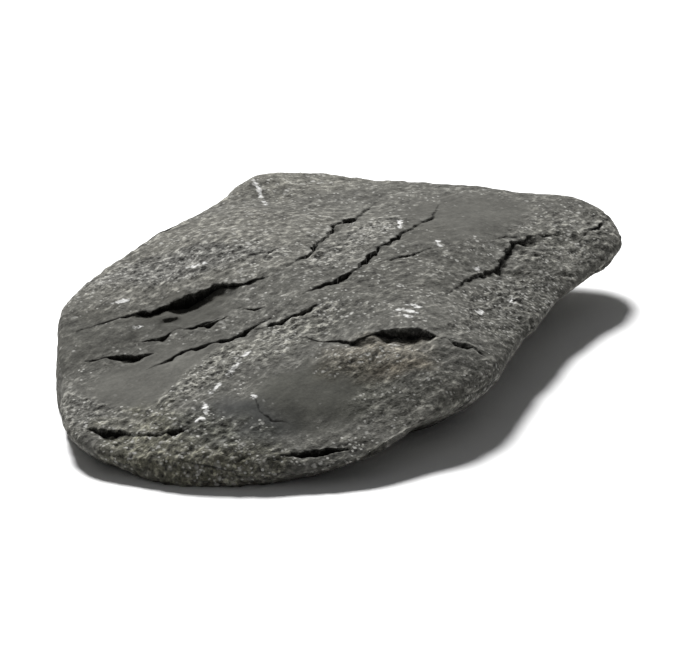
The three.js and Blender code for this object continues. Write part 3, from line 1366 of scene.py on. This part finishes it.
            # Painted shade: a dark line under each lip, wider where the crack stands open.
            near = np.abs(below - wear.shade_at) - wear.shade_spread * strength * opened
            stone.note_crack_shade(np.where(depth > 0.0, near, FAR_OFF), side)

    def split_plates(self, stone: SplitStone) -> None:
        """Lets the edges of the thin plates show: round the sides, and as low steps on the top.

        Args:
            stone: the stone so far, which is changed.
        """
        plates = self.plates
        rest = stone.points
        level = rest[:, 2] - plates.slope * rest[:, 1]
        place = (level + plates.wobble.rise(self.noise, rest)) / plates.thickness
        layer = np.floor(place)
        share = place - layer
        turn = smooth_step(*plates.turn, share)
        out = self.plate_jut(rest, layer) * (1.0 - turn) + self.plate_jut(rest, layer + 1.0) * turn
        opened = plates.openings.rise(self.other_noise, rest) + plates.opening_share
        gap = plates.gap * np.clip(opened, 0.0, 1.0)
        gap = gap * bell(share, plates.gap_at, plates.gap_spread)
        steep = 1.0 - smooth_step(*plates.off_side, np.abs(stone.normals[:, 2]))
        strength = steep * from_share(plates.smooth_share, np.clip(stone.rough, 0.0, 1.0))
        stone.points = rest + stone.normals * ((out - gap) * strength)[:, None]
        # Painted shade: the plate gaps count as hollows, which the finish darkens.
        stone.cavity += gap * strength * plates.hollow_shade
        self.step_top(stone, rest, level)

    def plate_jut(self, points: Points, layer: Values) -> Values:
        """How far the plate of each layer stands out.

        Args:
            points: the points, one a row.
            layer: the number of the plate at each.

        Returns:
            The distance at each point, below zero where the plate lies back.
        """
        spread = np.stack([points[:, 0], points[:, 1], layer * self.plates.jut_spacing], axis=1)
        return self.plates.jut.rise(self.noise, spread)

    def step_top(self, stone: SplitStone, rest: Points, level: Values) -> None:
        """Leaves the low steps on the top.

        Args:
            stone: the stone so far, which is changed.
            rest: its points before its plates were split.
            level: how high each of them lies among the plates.
        """
        steps = self.top_steps
        level = level + steps.bends.rise(self.noise, rest)
        level = level + steps.kinks.rise(self.other_noise, rest)
        share = level / steps.spacing
        share = share - np.floor(share)
        step = smooth_step(*steps.rise, share) - share
        spots = np.clip(steps.spot_share + steps.spots.rise(self.other_noise, rest), 0.0, 1.0)
        top = smooth_step(*steps.on_top, stone.normals[:, 2])
        strength = top * spots * np.clip(from_share(steps.smooth_share, stone.rough), 0.0, 1.0)
        stone.points[:, 2] += steps.height * step * strength
        stone.note_wear_and_highlight(steps.wear * strength * smooth_step(*steps.worn_range, step))

    def roughen(self, stone: SplitStone) -> None:
        """Gives the surface its lumps, ripples, pits and grain.

        Args:
            stone: the stone so far, which is changed.
        """
        weather = self.weather
        rest = stone.points
        rough = np.clip(from_share(weather.plain_share, stone.rough), weather.least_share, 1.0)
        faded = rough**weather.fading
        lumps = weather.lumps.rise(self.noise, rest)
        ripples = 1.0 - 2.0 * np.abs(weather.ripples.rise(self.other_noise, rest))
        grain = weather.grain.rise(self.other_noise, rest) * rough
        pits = np.clip(weather.pits.rise(self.noise, rest) - weather.threshold, 0.0, 1.0)
        crumbs = weather.crumbs.rise(self.other_noise, rest) - weather.threshold
        crumbs = np.clip(crumbs, 0.0, 1.0)
        side = 1.0 - smooth_step(*weather.side, np.abs(stone.normals[:, 2]))
        rise = lumps * from_share(weather.smooth_lumps, rough)
        rise += weather.ripple_height * ripples * rough * (1.0 - weather.side_ripples * side)
        rise += grain
        rise += (weather.crumb_height * crumbs - weather.pit_depth * pits) * faded
        stone.points = rest + stone.normals * rise[:, None]
        # Painted shade: the pits count as hollows, which the finish darkens.
        stone.cavity += np.clip(weather.pit_depth * pits * faded - grain, 0.0, 1.0)
        gain, start, strength = weather.ripple_wear
        stone.note_wear_and_highlight(np.clip(gain * ripples - start, 0.0, 1.0) * rough * strength)
        stone.note_wear_and_highlight(np.clip(weather.crumb_wear * crumbs, 0.0, 1.0) * faded)

    def note_patches(self, stone: SplitStone) -> None:
        """Notes how rough each part of the stone is, its tint and its quartz.

        Args:
            stone: the worn stone, which is changed.
        """
        ragged = self.patch_edges.rise(self.other_noise, stone.points)
        for patch in PATCHES:
            share = patch.share_at(stone.points, ragged)
            stone.rough = stone.rough * (1.0 - share) + patch.rough * share
            stone.tint *= 1.0 + share[:, None] * (np.array(patch.tint) - 1.0)
        hidden = FAR_OFF * (1.0 - smooth_step(*self.quartz_on_top, stone.normals[:, 2]))
        for vein in VEINS:
            stone.quartz = np.minimum(stone.quartz, vein.distance_at(stone.points) + hidden)

    def surface(self) -> tuple[SplitStone, np.ndarray]:
        """The whole stone as points and triangles, in millimetres.

        Returns:
            The stone and the corners of each triangle.
        """
        ways, triangles = even_ball(self.steps)
        stone = SplitStone.plain(*self.worn(ways * BLANK_HALF_SIZES))
        self.note_patches(stone)
        self.open_clefts(stone, TOP_CLEFTS)
        self.cut_ledges(stone)
        low, high = stone.points.min(0), stone.points.max(0)
        self.open_clefts(stone, FINE_CLEFTS)
        self.split_plates(stone)
        self.roughen(stone)
        stone.points[:, 2] = np.maximum(stone.points[:, 2], 0.0)
        cad_low, cad_high = (np.array(corner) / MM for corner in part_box(NODE))
        middle = (cad_low + cad_high - low - high) / 2 * LEVEL
        stone.points = stone.points + middle
        LOG.info("the stone was moved %s mm to its solid's middle", np.round(middle, 3).tolist())
        return stone, triangles

    def build(self) -> bpy.types.Object:
        """Makes the stone's mesh, thins it and dresses it.

        Returns:
            The finished piece.
        """
        stone, triangles = self.surface()
        mesh = bpy.data.meshes.new(self.name)
        mesh.vertices.add(len(stone.points))
        mesh.vertices.foreach_set("co", (stone.points * MM).astype(np.float32).ravel())
        mesh.loops.add(triangles.size)
        mesh.loops.foreach_set("vertex_index", triangles.astype(np.int32).ravel())
        mesh.polygons.add(len(triangles))
        mesh.polygons.foreach_set("loop_start", np.arange(0, triangles.size, 3, dtype=np.int32))
        # crack and cavity carry painted shade; wear carries pale wear and painted highlight.
        for name in ("crack", "wear", "rough", "quartz", "cavity"):
            layer = mesh.attributes.new(name, "FLOAT", "POINT")
            layer.data.foreach_set("value", getattr(stone, name).astype(np.float32))
        layer = mesh.attributes.new("tint", "FLOAT_VECTOR", "POINT")
        layer.data.foreach_set("vector", stone.tint.astype(np.float32).ravel())
        mesh.update(calc_edges=True)
        mesh.validate()
        piece = bpy.data.objects.new(self.name, mesh)
        bpy.context.scene.collection.objects.link(piece)
        self._thin(piece, len(triangles))
        piece.data.shade_smooth()
        piece.data.materials.append(self.finish.material())
        return piece

    def _thin(self, piece: bpy.types.Object, count: int) -> None:
        """Takes triangles out where the surface is plain, down to the wanted number.

        Args:
            piece: the piece, whose mesh is replaced.
            count: how many triangles it has.
        """
        if count <= self.triangles:
            return
        thin = piece.modifiers.new("thin", "DECIMATE")
        thin.ratio = self.triangles / count
        evaluated = piece.evaluated_get(bpy.context.evaluated_depsgraph_get())
        thinned = bpy.data.meshes.new_from_object(evaluated)
        piece.modifiers.clear()
        full = piece.data
        piece.data = thinned
        bpy.data.meshes.remove(full)
        thinned.name = self.name


@dataclass(frozen=True)
class PhotoCamera:
    """The photograph's view of the stone, three times closer in.

    The photograph is 679 pixels wide. Its camera stood 1.67 m from the stone, 20 degrees above
    it, and a pixel of it is 1/1.48 mm there. The aim is a point of the stone, in millimetres.
    """

    width: float = 679.0
    distance: float = 1670.0
    elevation: float = 20.0
    heading: float = 44.5
    pixels_per_mm: float = 1.48
    closer: float = 3.0
    aim: Triple = (-13.0, -13.7, 14.0)
    sensor: float = 36.0
    clip: Pair = (0.1, 50.0)

    def lens(self) -> float:
        """The lens that gives the framing, in millimetres."""
        return self.sensor * self.pixels_per_mm * self.closer * self.distance / self.width

    def build(self) -> bpy.types.Object:
        """Makes the camera and sets it as the scene's own.

        Returns:
            The camera.
        """
        data = bpy.data.cameras.new("photo_camera")
        data.sensor_width = self.sensor
        data.lens = self.lens()
        data.clip_start, data.clip_end = self.clip
        camera = bpy.data.objects.new("photo_camera", data)
        bpy.context.scene.collection.objects.link(camera)
        look = risen_way(self.heading, -self.elevation)
        camera.location = Vector(((np.array(self.aim) - look * self.distance) * MM).tolist())
        camera.rotation_mode = "QUATERNION"
        camera.rotation_quaternion = Vector(look.tolist()).to_track_quat("-Z", "Y")
        bpy.context.scene.camera = camera
        return camera


@dataclass(frozen=True)
class DistantLight:
    """A broad light so far away that it lights the whole floor evenly.

    Spread is how wide it looks from the stone, in degrees, and strength is in watts a square
    metre.
    """

    name: str
    heading: float
    elevation: float
    spread: float
    strength: float

    def build(self) -> bpy.types.Object:
        """Makes the light.

        Returns:
            The light.
        """
        data = bpy.data.lights.new(self.name, "SUN")
        data.angle = math.radians(self.spread)
        data.energy = self.strength
        light = bpy.data.objects.new(self.name, data)
        bpy.context.scene.collection.objects.link(light)
        away = risen_way(self.heading, self.elevation)
        light.rotation_mode = "QUATERNION"
        light.rotation_quaternion = Vector((-away).tolist()).to_track_quat("-Z", "Y")
        return light


@dataclass(frozen=True)
class Studio:
    """The white floor, the white surround and the soft light.

    The floor's size is in metres, and its gap under the stone in millimetres. Fill is how
    much light the surround gives from all sides.
    """

    floor_size: float = 40.0
    floor_gap: float = 0.02
    floor_tone: Tone = Tone(0.86)
    fill: float = 0.12
    key: DistantLight = DistantLight("key_light", 60.0, 43.0, 17.5, 7.6)

    def build(self) -> None:
        """Makes the floor, the surround and the light."""
        self.build_floor()
        self.build_surround()
        self.key.build()
        bpy.context.scene.view_settings.view_transform = "Standard"

    def build_floor(self) -> bpy.types.Object:
        """Makes the white floor under the stone.

        Returns:
            The floor.
        """
        half = self.floor_size / 2
        below = -self.floor_gap * MM
        corners = [(x * half, y * half, below) for x, y in ((-1, -1), (1, -1), (1, 1), (-1, 1))]
        mesh = bpy.data.meshes.new("floor")
        mesh.from_pydata(corners, [], [(0, 1, 2, 3)])
        floor = bpy.data.objects.new("floor", mesh)
        bpy.context.scene.collection.objects.link(floor)
        paint = bpy.data.materials.new("white_floor")
        graph = ShaderGraph(paint)
        surface = graph.node("ShaderNodeBsdfPrincipled", feeds={
            "Base Color": self.floor_tone.colour(),
            "Roughness": 1.0,
            "Specular IOR Level": 0.0,
        })
        graph.node("ShaderNodeOutputMaterial", feeds={"Surface": surface})
        mesh.materials.append(paint)
        return floor

    def build_surround(self) -> None:
        """Makes the surround white to look at, and a weak light from all sides."""
        world = bpy.data.worlds.new("white_surround")
        bpy.context.scene.world = world
        graph = ShaderGraph(world)
        seen = graph.node("ShaderNodeLightPath", output="Is Camera Ray")
        strength = self.fill + seen * (1.0 - self.fill)
        feeds = {"Color": Tone(1.0).colour(), "Strength": strength}
        light = graph.node("ShaderNodeBackground", feeds=feeds)
        graph.node("ShaderNodeOutputWorld", feeds={"Surface": light})


def main() -> None:
    """Loads the frame, builds the camera, the studio and the stone, and notes the lens and the
    triangles.
    """
    logging.basicConfig(level=logging.INFO, format="%(name)s: %(message)s")
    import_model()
    camera = PhotoCamera().build()
    LOG.info("camera with a lens of %.0f mm", camera.data.lens)
    Studio().build()
    rock = RiverRock()
    piece = rock.build()
    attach(piece, BODY)
    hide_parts(NODE)
    LOG.info("%s has %d triangles", piece.name, len(piece.data.polygons))


if __name__ == "__main__":
    main()
